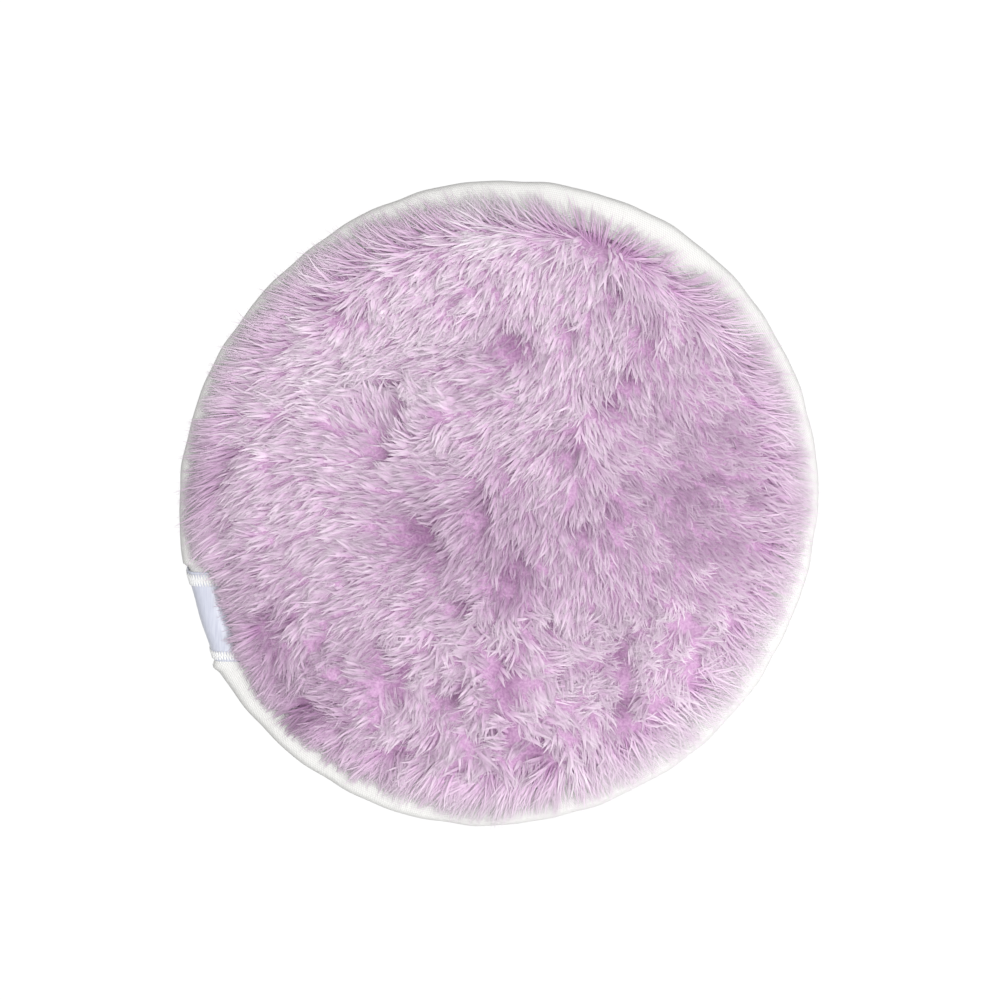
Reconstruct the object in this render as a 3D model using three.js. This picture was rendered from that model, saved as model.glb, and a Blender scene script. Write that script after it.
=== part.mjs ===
// Round plush make-up remover pad, lying on its rear face with the front face up.
// Millimetres, +Z up. The origin is on the resting plane, under the middle of the pad.
import * as THREE from "three";

// Pad
const PAD_DIAMETER = 120; // mean, over the binding
const OUT_OF_ROUND = 4; // longest diameter less the shortest: a sewn soft edge is never quite round
const LONG_AXIS = THREE.MathUtils.degToRad(53); // direction of the longest diameter
const CROWN = 8.95; // middle plane to the top of the pile
const REST_FLAT = 0.2; // how far the pile is pressed flat where the pad rests
const LAYER_GAP = 0.2; // between layers that lie on each other

// Sponge core
const CORE_THICKNESS = 4;
const CORE_RIM = 0.8; // where the seam squeezes it
const CORE_INSET = 3; // its edge, in from the edge of the pad
const CORE_SHOULDER = 7; // width of the slope from full thickness down to the rim

// Plush faces
const CLOTH = 0.8; // knitted ground of the plush, as it lies in the seam
const PILE_INSET = 2.6; // edge of the brushed pile, in from the edge of the pad
const PILE_COUNTER = 1.2; // the pile hangs this much further over the short diameter
const PILE_OFF_LABEL = 4; // edge of the pile, in from the outside of the label
// Outline of the pile: distance in from its edge, and share of its height. The low outer part is combed
// out over the tape.
const PILE_OUTLINE = [
  [0, 0],
  [0.4, 0.18],
  [1.9, 0.36],
  [4.9, 0.5],
  [8.4, 0.81],
  [12.4, 1],
];
const NECK_GAP = 1.6; // pile to the tape's inner edge

// Edge binding
const TAPE = 0.7; // thickness of the folded tape
const TAPE_FACE = 7.5; // width of the tape on each face
const SEAM_IN = 1.7; // stitch row, in from the tape's inner edge
const SEAM_DIP = 0.5; // how far the stitches draw the tape in
const SEAM_WIDTH = 1.6; // width of that furrow

// Sewing thread
const THREAD = 0.4; // diameter
const STITCH = 4; // length of one stitch
const STITCH_RISE = 0.25; // how far a stitch stands above its ends

// Side label
const LABEL_LENGTH = 17.4; // along the edge
const LABEL_THICKNESS = 0.35;
const LABEL_INSET = 0.6; // outside of the label, in from the mean edge of the pad
const LABEL_FACING = THREE.MathUtils.degToRad(197); // direction the label faces
const LABEL_SLIDE = 3.4; // label's middle, along the edge from that direction
const LABEL_LEAD = 2.5; // length over which the edge comes back to its line past each end
const LABEL_SKEW = THREE.MathUtils.degToRad(17); // the ribbon lies this far askew over the edge
const ZIGZAG_WIDTH = 2;
const ZIGZAG_PITCH = 1.6; // one zig and one zag
const ZIGZAG_MARGIN = 0.5; // row to the label's end

// Facets
const AROUND = 72;
const LABEL_FACETS = 4;
const NOSE_STEPS = 4; // quarter of the folded edge
const THREAD_SIDES = 4;
const STITCH_FACETS = 3; // along one stitch
const ZIGZAG_FACETS = 6; // along one zig and one zag

const padRadius = PAD_DIAMETER / 2;
const middle = CROWN - REST_FLAT; // height of the middle plane
const rimHalf = CORE_RIM / 2;
const coreHalf = CORE_THICKNESS / 2;
const clothTop = rimHalf + LAYER_GAP + CLOTH;
const edgeHalf = clothTop + LAYER_GAP + SEAM_DIP + TAPE; // half the thickness of the bound edge
const labelTop = edgeHalf + LAYER_GAP + LABEL_THICKNESS;
const seamLow = edgeHalf - SEAM_DIP + 0.9 * THREAD; // middle of the thread at a needle hole
const seamHigh = seamLow + STITCH_RISE; // and between two holes
const lip = seamHigh + THREAD / 2 + LAYER_GAP; // underside of the pile that hangs over the tape
const lipOverLabel = labelTop + LAYER_GAP + THREAD + LAYER_GAP;
const labelReach = padRadius - LABEL_INSET;
const labelFace = TAPE_FACE - SEAM_IN - SEAM_WIDTH / 2 - LAYER_GAP; // it ends short of the furrow
const flat = labelReach - LABEL_THICKNESS - LAYER_GAP; // where the label presses the edge straight
const pileReach = padRadius - PILE_INSET;

// Angles of the facets: one meets each end of the label, and the rest are even.
const flatHalf = LABEL_LENGTH / 2 + LAYER_GAP;
const angleAlong = (along) => LABEL_FACING + Math.atan(along / flat);
const flatStart = angleAlong(LABEL_SLIDE - flatHalf);
const flatEnd = angleAlong(LABEL_SLIDE + flatHalf);
const leadStart = angleAlong(LABEL_SLIDE - flatHalf - LABEL_LEAD);
const leadEnd = angleAlong(LABEL_SLIDE + flatHalf + LABEL_LEAD);
const angles = [leadStart];
for (let i = 0; i <= LABEL_FACETS; i++) {
  angles.push(THREE.MathUtils.lerp(flatStart, flatEnd, i / LABEL_FACETS));
}
const evenFacets = AROUND - angles.length;
for (let i = 0; i <= evenFacets; i++) {
  angles.push(THREE.MathUtils.lerp(leadEnd, leadStart + 2 * Math.PI, i / evenFacets));
}

// Share of the label's pull at an angle: 1 along the label, 0 past its leads.
function labelPull(angle) {
  const turn = THREE.MathUtils.euclideanModulo(angle, 2 * Math.PI);
  const before = THREE.MathUtils.clamp((turn - leadStart) / (flatStart - leadStart), 0, 1);
  const after = THREE.MathUtils.clamp((leadEnd - turn) / (leadEnd - flatEnd), 0, 1);
  return Math.min(before, after);
}

// Distance from the middle to a line that runs `inward` of the bound edge.
function edgeRadius(angle, inward) {
  const round = padRadius + (OUT_OF_ROUND / 4) * Math.cos(2 * (angle - LONG_AXIS)) - inward;
  const pressed = (flat - inward) / Math.cos(angle - LABEL_FACING);
  return THREE.MathUtils.lerp(round, pressed, labelPull(angle));
}

// Edge of the brushed pile in a direction.
function pileEdge(angle) {
  const round = pileReach - PILE_COUNTER * Math.cos(2 * (angle - LONG_AXIS));
  const atLabel = (labelReach - PILE_OFF_LABEL) / Math.cos(angle - LABEL_FACING);
  return THREE.MathUtils.lerp(round, atLabel, labelPull(angle));
}

// A turned piece: [radius, height from the middle plane] pairs, with `place` giving the radius
// and height that a point off the axis takes at each angle.
function turned(section, place) {
  const profile = section.map(([radius, height]) => new THREE.Vector2(radius, height));
  const geometry = new THREE.LatheGeometry(profile, AROUND);
  const position = geometry.attributes.position;
  for (let i = 0; i <= AROUND; i++) {
    const angle = angles[i % AROUND];
    section.forEach(([radius, height], j) => {
      const [out, up] = radius > 0 ? place(radius, height, angle) : [0, height];
      const x = out * Math.cos(angle);
      const y = out * Math.sin(angle);
      position.setXYZ(i * section.length + j, x, y, middle + up);
    });
  }
  geometry.computeVertexNormals();
  return geometry;
}

// Line of a strip folded over the edge, `offset` outside the tape: front limb, nose, rear limb.
// Each point is [distance outward from the tape's nose, height from the middle plane].
function foldLine(offset, face, furrow) {
  const half = edgeHalf + offset;
  const front = [[-face, half]];
  if (furrow) {
    const seam = SEAM_IN - TAPE_FACE;
    front.push([seam - SEAM_WIDTH / 2, half], [seam, half - SEAM_DIP], [seam + SEAM_WIDTH / 2, half]);
  }
  for (let i = 0; i < NOSE_STEPS; i++) {
    const turn = (Math.PI / 2) * (1 - i / NOSE_STEPS);
    front.push([half * Math.cos(turn) - edgeHalf, half * Math.sin(turn)]);
  }
  const rear = front.map(([out, height]) => [out, -height]).reverse();
  return [...front, [half - edgeHalf, 0], ...rear];
}

const plush = new THREE.MeshStandardMaterial({ color: 0xcfb4cb, roughness: 0.95 });
const foam = new THREE.MeshStandardMaterial({ color: 0xf3efe2, roughness: 0.9 });
const tape = new THREE.MeshStandardMaterial({ color: 0xf0efea, roughness: 0.85 });
const satin = new THREE.MeshStandardMaterial({ color: 0xdcdde8, roughness: 0.4 });
const yarn = new THREE.MeshStandardMaterial({ color: 0xf6f5f2, roughness: 0.75 });

const pad = new THREE.Group();
pad.name = "makeup_remover_sponge";

function add(name, geometry, material) {
  const mesh = new THREE.Mesh(geometry, material);
  mesh.name = name;
  pad.add(mesh);
}

// Points inside the binding keep their share of the way out to the edge.
const inPad = (radius, height, angle) => [(radius * edgeRadius(angle, 0)) / padRadius, height];
const inTape = (radius, height, angle) => [edgeRadius(angle, padRadius - radius), height];

// Sponge core: a foam disc, squeezed thin where the seam holds it.
const coreEdge = padRadius - CORE_INSET;
const shoulderOut = padRadius - TAPE_FACE;
const shoulderIn = shoulderOut - CORE_SHOULDER;
const coreFace = [
  [0, coreHalf],
  [shoulderIn, coreHalf],
  [shoulderOut, rimHalf],
  [coreEdge, rimHalf],
];
const coreRear = coreFace.map(([radius, height]) => [radius, -height]).reverse();
add("sponge_core", turned([...coreFace, ...coreRear].reverse(), inPad), foam);

// Plush face: the cloth runs out into the seam, and the pile above it hangs over the tape.
// `top` is the height of the crown.
function plushSection(top) {
  const neck = shoulderOut - NECK_GAP;
  const pile = PILE_OUTLINE.map(([inward, share]) => [pileReach - inward, lip + (top - lip) * share]);
  return [
    [0, coreHalf + LAYER_GAP],
    [shoulderIn, coreHalf + LAYER_GAP],
    [shoulderOut, rimHalf + LAYER_GAP],
    [coreEdge, rimHalf + LAYER_GAP],
    [coreEdge, clothTop],
    [neck, clothTop],
    [neck, lip],
    ...pile,
    [0, top],
  ];
}

// The pile keeps its own edge, and its underside lifts where it lies over the label.
function inPlush(radius, height, angle) {
  const side = Math.sign(height);
  const above = side * height - lip;
  if (above < 0) {
    return inPad(radius, height, angle);
  }
  const overLabel = angles.indexOf(angle) <= LABEL_FACETS + 2;
  const raised = overLabel ? Math.max(above, lipOverLabel - lip) : above;
  const atNeck = radius <= shoulderOut - NECK_GAP && above === 0;
  const out = atNeck ? inPad(radius, height, angle)[0] : (radius * pileEdge(angle)) / pileReach;
  return [out, side * (lip + raised)];
}

add("front_plush", turned(plushSection(CROWN), inPlush), plush);
const rearSection = plushSection(CROWN - REST_FLAT).map(([radius, height]) => [radius, -height]);
add("rear_plush", turned(rearSection.reverse(), inPlush), plush);

// Edge binding: a tape folded over the raw edge, drawn in along the stitch row on each face.
const tapeOutside = foldLine(0, TAPE_FACE, true);
const tapeInside = foldLine(-TAPE, TAPE_FACE, true).reverse();
const tapeSection = [...tapeOutside, ...tapeInside, tapeOutside[0]];
const tapeProfile = tapeSection.map(([out, height]) => [padRadius + out, height]).reverse();
add("edge_binding", turned(tapeProfile, inTape), tape);

// A line given by a formula of the share `t` of its length.
class FormulaCurve extends THREE.Curve {
  constructor(at) {
    super();
    this.at = at;
  }

  getPoint(t, target = new THREE.Vector3()) {
    return target.copy(this.at(t));
  }

  getUtoTmapping(u) {
    return u;
  }
}

// Binding threads: one in the furrow of each face, down at every needle hole.
const seamInward = TAPE_FACE - SEAM_IN;
const stitches = Math.round((2 * Math.PI * (padRadius - seamInward)) / STITCH);
function seamThread(side) {
  const line = new FormulaCurve((t) => {
    const angle = leadEnd + 2 * Math.PI * t;
    const radius = edgeRadius(angle, seamInward);
    const atHole = Math.abs(t * stitches - Math.round(t * stitches)) < 0.1;
    const height = atHole ? seamLow : seamHigh;
    const x = radius * Math.cos(angle);
    const y = radius * Math.sin(angle);
    return new THREE.Vector3(x, y, middle + side * height);
  });
  return new THREE.TubeGeometry(line, stitches * STITCH_FACETS, THREAD / 2, THREAD_SIDES, true);
}
add("front_seam_thread", seamThread(1), yarn);
add("rear_seam_thread", seamThread(-1), yarn);

// Distance of each point of a fold line from the middle of the fold, measured along the line.
function acrossFold(line) {
  const lengths = [0];
  for (let i = 1; i < line.length; i++) {
    const [fromOut, fromHeight] = line[i - 1];
    const [toOut, toHeight] = line[i];
    lengths.push(lengths[i - 1] + Math.hypot(toOut - fromOut, toHeight - fromHeight));
  }
  return lengths.map((length) => length - lengths[lengths.length - 1] / 2);
}

// Side label: a short satin tape folded a little askew over the binding.
// Its own axes: outward, along the edge, up. `onEdge` turns a geometry from them into place.
const onEdge = new THREE.Matrix4().makeRotationZ(LABEL_FACING);
onEdge.setPosition(flat * Math.cos(LABEL_FACING), flat * Math.sin(LABEL_FACING), middle);
const labelOutside = foldLine(LAYER_GAP + LABEL_THICKNESS, labelFace, false);
const labelInside = foldLine(LAYER_GAP, labelFace, false).reverse();
const labelPoints = [...labelOutside, ...labelInside];
const labelShape = new THREE.Shape(labelPoints.map(([out, height]) => new THREE.Vector2(out, height)));
const label = new THREE.ExtrudeGeometry(labelShape, { depth: LABEL_LENGTH, bevelEnabled: false });
const skew = Math.tan(LABEL_SKEW);
const labelAcross = acrossFold(labelOutside);
const pointAcross = [...labelAcross, ...labelAcross.slice().reverse()];
const labelPosition = label.attributes.position;
for (let i = 0; i < labelPosition.count; i++) {
  const place = new THREE.Vector2(labelPosition.getX(i), labelPosition.getY(i));
  const reach = labelPoints.map(([out, height]) => place.distanceTo(new THREE.Vector2(out, height)));
  const nearest = reach.indexOf(Math.min(...reach));
  labelPosition.setZ(i, labelPosition.getZ(i) + skew * pointAcross[nearest]);
}
label.computeVertexNormals();
label.rotateX(Math.PI / 2);
label.translate(0, LABEL_SLIDE + LABEL_LENGTH / 2, 0);
label.applyMatrix4(onEdge);
add("side_label", label, satin);

// Label stitches: a zig-zag row over the fold at each end of the label.
const rowLine = foldLine(LAYER_GAP + LABEL_THICKNESS + LAYER_GAP + THREAD / 2, labelFace - THREAD, false);
const rowPath = new THREE.CurvePath();
for (let i = 1; i < rowLine.length; i++) {
  rowPath.add(new THREE.LineCurve(new THREE.Vector2(...rowLine[i - 1]), new THREE.Vector2(...rowLine[i])));
}
const zigzags = Math.round(rowPath.getLength() / ZIGZAG_PITCH);
const threadRound = new THREE.Shape().absarc(0, 0, THREAD / 2, 0, 2 * Math.PI);
function zigzagRow(end) {
  const row = LABEL_SLIDE + end * (LABEL_LENGTH / 2 - ZIGZAG_MARGIN - ZIGZAG_WIDTH / 2);
  const sway = (ZIGZAG_WIDTH - THREAD) / 2 / Math.sin(Math.PI / 3);
  const line = new FormulaCurve((t) => {
    const over = rowPath.getPointAt(t);
    const across = (t - 0.5) * rowPath.getLength();
    const along = row + sway * Math.sin(2 * Math.PI * zigzags * t) - skew * across;
    return new THREE.Vector3(over.x, along, over.y);
  });
  const geometry = new THREE.ExtrudeGeometry(threadRound, {
    extrudePath: line,
    steps: zigzags * ZIGZAG_FACETS,
    curveSegments: THREAD_SIDES,
    bevelEnabled: false,
  });
  geometry.applyMatrix4(onEdge);
  return geometry;
}
add("label_stitch_upper", zigzagRow(-1), yarn);
add("label_stitch_lower", zigzagRow(1), yarn);

export default pad;
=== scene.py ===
"""Round plush make-up remover pad, lying on its rear face. Metres, +Z up out of the front face."""

import math

import bmesh
import bpy
import numpy as np
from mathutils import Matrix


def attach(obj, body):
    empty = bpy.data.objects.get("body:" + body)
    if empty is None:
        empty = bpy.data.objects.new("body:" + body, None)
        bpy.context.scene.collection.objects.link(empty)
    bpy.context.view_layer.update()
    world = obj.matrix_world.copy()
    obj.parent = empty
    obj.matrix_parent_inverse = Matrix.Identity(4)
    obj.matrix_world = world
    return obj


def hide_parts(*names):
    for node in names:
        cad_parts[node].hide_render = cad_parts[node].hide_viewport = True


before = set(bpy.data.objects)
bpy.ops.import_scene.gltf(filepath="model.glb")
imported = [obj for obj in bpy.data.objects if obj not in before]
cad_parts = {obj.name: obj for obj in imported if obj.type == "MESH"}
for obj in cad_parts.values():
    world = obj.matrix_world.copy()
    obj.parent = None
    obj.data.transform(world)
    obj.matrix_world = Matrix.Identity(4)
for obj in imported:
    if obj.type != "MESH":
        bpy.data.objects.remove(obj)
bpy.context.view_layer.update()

# Camera
# The pad was photographed from straight above with a long lens, so its outline is hardly foreshortened.
MM = 0.001
MIDDLE = 8.75 * MM  # height of the plane half way through the bound edge
LENS = 100
VIEW_WIDTH = 187.35 * MM  # what the picture takes in at that plane
VIEW_CENTRE = (0.36 * MM, 0.47 * MM)


def in_scene(name, data):
    """New object, linked to the scene."""
    item = bpy.data.objects.new(name, data)
    bpy.context.collection.objects.link(item)
    return item


camera_data = bpy.data.cameras.new("camera")
camera_data.lens = LENS
camera = in_scene("camera", camera_data)
camera.location = (*VIEW_CENTRE, MIDDLE + VIEW_WIDTH * LENS / camera_data.sensor_width)
bpy.context.scene.camera = camera
bpy.context.scene.view_settings.view_transform = "Standard"

# Floor and light
# A table that looks white round the pad, under two soft boxes: one overhead and one low on the right.
FLOOR_SIZE = 3.0
FLOOR_CARD = (0.25, 0.25, 0.25, 1)
FLOOR_GLOW = 0.75  # share of the floor's white that the shadow doesn't reach
FLOOR_SHINE = 1.3  # strength of that share
SOFT_BOXES = {
    "overhead_box": {"at": (0.05, 0.0, 1.1), "size": 0.45, "watts": 6.8},
    "side_box": {"at": (0.50, -0.30, 0.5), "size": 0.6, "watts": 3.2},
}
ROOM = 0.45  # strength of the even white light from all round


def new_material(name, finish):
    """Material with its node tree and its Principled shader, which has plain values for its finish."""
    material = bpy.data.materials.new(name)
    material.use_nodes = True
    shader = material.node_tree.nodes["Principled BSDF"]
    for label, value in finish.items():
        shader.inputs[label].default_value = value
    return material, material.node_tree, shader


class Field:
    """One value in a node tree. Arithmetic on it adds the nodes that do the sum."""

    def __init__(self, socket):
        self.socket = socket
        self.tree = socket.id_data
        self.is_vector = socket.type == "VECTOR"

    def __add__(self, other):
        return sum_node("ADD", self, other)

    def __sub__(self, other):
        return sum_node("SUBTRACT", self, other)

    def __rsub__(self, other):
        return sum_node("SUBTRACT", other, self)

    def __mul__(self, other):
        if self.is_vector:
            inputs = {"Vector": self, "Scale": other}
            return wire(self.tree, "ShaderNodeVectorMath", inputs, operation="SCALE")
        return sum_node("MULTIPLY", self, other)

    def __truediv__(self, other):
        return sum_node("DIVIDE", self, other)

    def __pow__(self, other):
        return sum_node("POWER", self, other)

    __radd__ = __add__
    __rmul__ = __mul__


def feed(socket, value):
    """Links a field to a socket, or sets a plain value on it."""
    if isinstance(value, Field):
        socket.id_data.links.new(value.socket, socket)
    else:
        socket.default_value = value


def wire(tree, kind, inputs=None, **settings):
    """Adds a node and returns its first live output as a field."""
    node = tree.nodes.new(kind)
    for name, value in settings.items():
        setattr(node, name, value)
    for name, value in (inputs or {}).items():
        feed(next(s for s in node.inputs if s.name == name and s.enabled), value)
    return Field(next(s for s in node.outputs if s.enabled))


def sum_node(operation, *values):
    """A Math node, or a Vector Math node where a value is a vector."""
    fields = [v for v in values if isinstance(v, Field)]
    tree = fields[0].tree
    vectors = any(f.is_vector for f in fields)
    node = tree.nodes.new("ShaderNodeVectorMath" if vectors else "ShaderNodeMath")
    node.operation = operation
    for socket, value in zip(node.inputs, values):
        feed(socket, value)
    return Field(next(s for s in node.outputs if s.enabled))


floor_mesh = bpy.data.meshes.new("floor")
floor_half = FLOOR_SIZE / 2
floor_corners = [(x * floor_half, y * floor_half, 0) for x, y in ((-1, -1), (1, -1), (1, 1), (-1, 1))]
floor_mesh.from_pydata(floor_corners, [], [(0, 1, 2, 3)])
floor_paint, floor_tree, floor_shader = new_material(
    "floor_white", {"Base Color": FLOOR_CARD, "Roughness": 0.9, "Specular IOR Level": 0.1}
)
ray = floor_tree.nodes.new("ShaderNodeLightPath")
seen = Field(ray.outputs["Is Camera Ray"])
for other in ("Is Glossy Ray", "Is Transmission Ray"):
    seen = sum_node("MAXIMUM", seen, Field(ray.outputs[other]))
floor_mix = floor_tree.nodes.new("ShaderNodeMixShader")
feed(floor_mix.inputs[0], seen * FLOOR_GLOW)
feed(floor_mix.inputs[1], Field(floor_shader.outputs[0]))
feed(floor_mix.inputs[2], wire(floor_tree, "ShaderNodeEmission", {"Strength": FLOOR_SHINE}))
feed(floor_tree.nodes["Material Output"].inputs["Surface"], Field(floor_mix.outputs[0]))
floor_mesh.materials.append(floor_paint)
floor = in_scene("floor", floor_mesh)

for name, box in SOFT_BOXES.items():
    box_data = bpy.data.lights.new(name, "AREA")
    box_data.size = box["size"]
    box_data.energy = box["watts"]
    lamp = in_scene(name, box_data)
    lamp.location = box["at"]
    lamp.rotation_mode = "QUATERNION"
    lamp.rotation_quaternion = lamp.location.to_track_quat("Z", "Y")

world = bpy.data.worlds.new("room")
world.use_nodes = True
world.node_tree.nodes["Background"].inputs["Color"].default_value = (1, 1, 1, 1)
world.node_tree.nodes["Background"].inputs["Strength"].default_value = ROOM
bpy.context.scene.world = world

# Sponge core
# A disc of open-cell foam that gives the pad its body and holds water. It is squeezed thin where the
# seam of the binding goes through it, and the two plush faces hide it.
PAD_RADIUS = 60 * MM
OVAL = 1 * MM  # a sewn soft edge is never quite round: the long diameter is out by this at each end
LONG_AXIS = math.radians(53)
LAYER_GAP = 0.2 * MM
CORE_HALF = 2 * MM
CORE_RIM_HALF = 0.4 * MM
CORE_INSET = 3 * MM
CORE_SHOULDER = 7 * MM
TAPE_FACE = 7.5 * MM  # width of the binding on each face
EDGE_HALF = 2.8 * MM  # half the thickness of the bound edge
LABEL_FACING = math.radians(197)
LABEL_FLAT = 58.85 * MM  # where the label presses the edge straight, from the middle
LABEL_SLIDE = 3.4 * MM  # label's middle, along the edge
LABEL_LENGTH = 17.4 * MM
LABEL_LEAD = 0.8 * MM
FOAM_COLUMNS = 240
FOAM_PORE = 0.5 * MM
FOAM_CREAM = (0.86, 0.80, 0.66, 1)


def smooth_step(value, low, high):
    """0 below low, 1 above high, and an even rise between."""
    t = np.clip((value - low) / (high - low), 0, 1)
    return t * t * (3 - 2 * t)


def turn_from(facing, angle):
    """Angle measured from a direction, between half a turn back and half a turn on."""
    return (angle - facing + math.pi) % (2 * math.pi) - math.pi


def label_pull(angle):
    """1 where the label presses the edge straight, 0 past its leads."""
    along = LABEL_FLAT * np.tan(np.clip(turn_from(LABEL_FACING, angle), -1, 1))
    off = np.abs(along - LABEL_SLIDE) - LABEL_LENGTH / 2 - LAYER_GAP
    return 1 - smooth_step(off, 0, LABEL_LEAD)


def edge_radius(angle, inward):
    """Distance from the middle to a line that runs inward of the bound edge."""
    pull = label_pull(angle)
    round_edge = PAD_RADIUS + OVAL * np.cos(2 * (angle - LONG_AXIS)) - inward
    pressed = (LABEL_FLAT - inward) / np.cos(np.clip(turn_from(LABEL_FACING, angle), -1, 1))
    return round_edge * (1 - pull) + pressed * pull


def even_angles(count):
    return np.linspace(0, 2 * math.pi, count, endpoint=False)


def polar(radius, angle, height):
    """Points from their distance from the axis, direction, and height above the middle plane."""
    parts = np.broadcast_arrays(radius * np.cos(angle), radius * np.sin(angle), MIDDLE + height)
    return np.stack(parts, axis=-1)


def grid_faces(columns, rows, round_columns, round_rows):
    """Quads over a grid of points, joined end to end where it goes round."""
    index = np.arange(columns * rows).reshape(columns, rows)
    if round_columns:
        index = np.vstack([index, index[:1]])
    if round_rows:
        index = np.hstack([index, index[:, :1]])
    corners = (index[:-1, :-1], index[1:, :-1], index[1:, 1:], index[:-1, 1:])
    return np.stack(corners, axis=-1).reshape(-1, 4)


def skin(name, points, faces):
    """Closed mesh: doubled points merged, faces turned outward, shaded smooth."""
    mesh = bpy.data.meshes.new(name)
    mesh.from_pydata(points.reshape(-1, 3).tolist(), [], faces.tolist())
    work = bmesh.new()
    work.from_mesh(mesh)
    bmesh.ops.remove_doubles(work, verts=work.verts, dist=0.001 * MM)
    bmesh.ops.recalc_face_normals(work, faces=work.faces)
    work.to_mesh(mesh)
    work.free()
    mesh.shade_smooth()
    return mesh


def turned_disc(name, section, columns):
    """Disc turned from (share of the way out, height) pairs that start and end on the axis."""
    out, height = np.array(section).T
    angle = even_angles(columns)[:, None]
    points = polar(out / PAD_RADIUS * edge_radius(angle, 0), angle, height)
    return skin(name, points, grid_faces(columns, len(section), True, False))


def show(name, mesh, material, node):
    """Puts a finished piece in the scene in place of its CAD node."""
    mesh.materials.clear()
    mesh.materials.append(material)
    piece = in_scene(name, mesh)
    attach(piece, "root")
    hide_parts(node)
    return piece


def bump(shader, height, strength, distance):
    """Sends a height through a Bump node to a shader's normal."""
    inputs = {"Strength": strength, "Distance": distance, "Height": height}
    feed(shader.inputs["Normal"], wire(height.tree, "ShaderNodeBump", inputs))


def ramp(value, stops):
    """Colour ramp over a value, from (position, colour) stops."""
    node = value.tree.nodes.new("ShaderNodeValToRGB")
    elements = node.color_ramp.elements
    while len(elements) < len(stops):
        elements.new(0.5)
    for element, (position, colour) in zip(elements, stops):
        element.position = position
        element.color = colour
    feed(node.inputs["Fac"], value)
    return Field(node.outputs["Color"])


def mottled(name, finish, size, detail, stops, strength, relief):
    """Material of two shades mixed by noise of a given size, with a fine relief to match."""
    material, tree, shader = new_material(name, finish)
    place = Field(tree.nodes.new("ShaderNodeTexCoord").outputs["Object"])
    noise = wire(tree, "ShaderNodeTexNoise", {"Vector": place, "Scale": 1 / size, "Detail": detail})
    feed(shader.inputs["Base Color"], ramp(noise, stops))
    bump(shader, noise, strength, relief)
    return material, shader, noise


core_edge = PAD_RADIUS - CORE_INSET
shoulder_out = PAD_RADIUS - TAPE_FACE
shoulder_in = shoulder_out - CORE_SHOULDER
core_face = [
    (0, CORE_HALF),
    (shoulder_in / 2, CORE_HALF),
    (shoulder_in, CORE_HALF),
    (shoulder_out, CORE_RIM_HALF),
    (core_edge, CORE_RIM_HALF),
]
core_section = core_face + [(out, -height) for out, height in reversed(core_face)]
foam_finish = {"Roughness": 0.95, "Specular IOR Level": 0.1}
foam_stops = [(0.3, FOAM_CREAM), (0.7, tuple(min(1, 1.1 * c) for c in FOAM_CREAM))]
foam, _, _ = mottled("cream_foam", foam_finish, FOAM_PORE, 4, foam_stops, 0.6, FOAM_PORE)
core_mesh = turned_disc("sponge_core_foam", core_section, FOAM_COLUMNS)
core = show("sponge_core_foam", core_mesh, foam, "sponge_core")

# Plush faces
# Two discs of knitted cloth with a long, soft lilac pile, caught in the seam with the foam between.
# The pile is dense and short below, with longer locks over it: pale at the tips, brushed this way and that.
# The roots of the locks and the short pile are painted darker, partly their dye and partly painted shade deep
# in the pile.
CLOTH = 0.8 * MM
CLOTH_COLUMNS = 180
CLOTH_LILAC = (0.42, 0.25, 0.41, 1)
KNIT_LOOP = 0.8 * MM
NAP = 0.5 * MM  # grain of the short pile
ROOT_INSET = 0.4 * MM  # the last of the pile, in from the tape's inner edge
UNDERPILE = {1: 4.7 * MM, -1: 5.2 * MM}  # depth of the short pile on the front and on the rear
UNDER_ROUND = 5 * MM  # how far in from its rim the short pile comes up to its full height
UNDER_COLUMNS = 240
UNDER_ROWS = 44
UNDER_DEEP = (0.52, 0.30, 0.50, 1)
UNDER_SOFT = (0.66, 0.425, 0.635, 1)
PARTING_SHADE_DEEP = (0.33, 0.165, 0.32, 1)  # the same pile where the locks part over it, painted darker: painted shade down in the parting
PARTING_SHADE_SOFT = (0.46, 0.265, 0.44, 1)
LOCK_SPACING = 0.75 * MM
LOCK_LENGTH = 6.2 * MM
LOCK_WIDTH = 0.62 * MM
LOCK_SIDES = 5
LOCK_FLATNESS = 0.38
LOCK_STREAKS = 0.28  # how much the sides of a lock differ in thickness and in tone
FLATTEST = 86  # degrees from upright where the brush strokes agree
STEEPEST = 36  # and where they are against each other
SLOPE_STEP = 2 * MM  # over which the fall of the ground ahead of a lock is taken
ROOT_SINK = 1.3 * MM  # how deep the locks start in the short pile
FILL_SPACING = 1.2 * MM
FILL_LENGTH = 4.2 * MM  # short locks that fill the gaps between the long ones
FILL_STAND = 12  # degrees from upright at their roots, and at their tips
FILL_LAY = 60
STRANDS = 3  # loose ones over each lock
STRAND_WIDTH = 0.2 * MM
STRAND_SPREAD = 0.45 * MM
TUFT_SPACING = 3.4 * MM
CURL_LIMIT = 1.3  # no tuft curls much more than the others
TANGLED = (15 * MM, 30 * MM)  # below the middle, where the tufts get tangled and where they all are
UPRIGHT = (2 * MM, 30 * MM)  # right of the middle, where the pile starts to stand up and where it all does
COMB_BLUR = 0.6 * MM  # strands of neighbouring strokes mix over about this width
RIM_WIDTH = 5 * MM  # outer band where the locks are combed out over the tape
RIM_DENSE = 3 * MM  # outermost part of it, where they are closer together
RIM_SPARE = 1.04  # a lock bends on its way, so it is cut longer than its reach
RIM_LEAST = 2 * MM  # least reach of such a lock, and its least and greatest length
RIM_SHORTEST = 4 * MM
RIM_LONGEST = 14 * MM
RIM_STAND = (28, 62)  # degrees from upright at the roots of the rim, on low and on high ground
REAR_BARE = 1.5 * MM  # least width of tape left bare on the rear face
REAR_WAY = -1.2  # radians: the way the rear pile lies
RIM_SLOPE = math.radians(45)  # how far the pile's outer side is turned down at the tips of the rim
BARE_DEPTH = 0.6  # no long lock grows where a parting is deeper than this
SECTORS = 10
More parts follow.
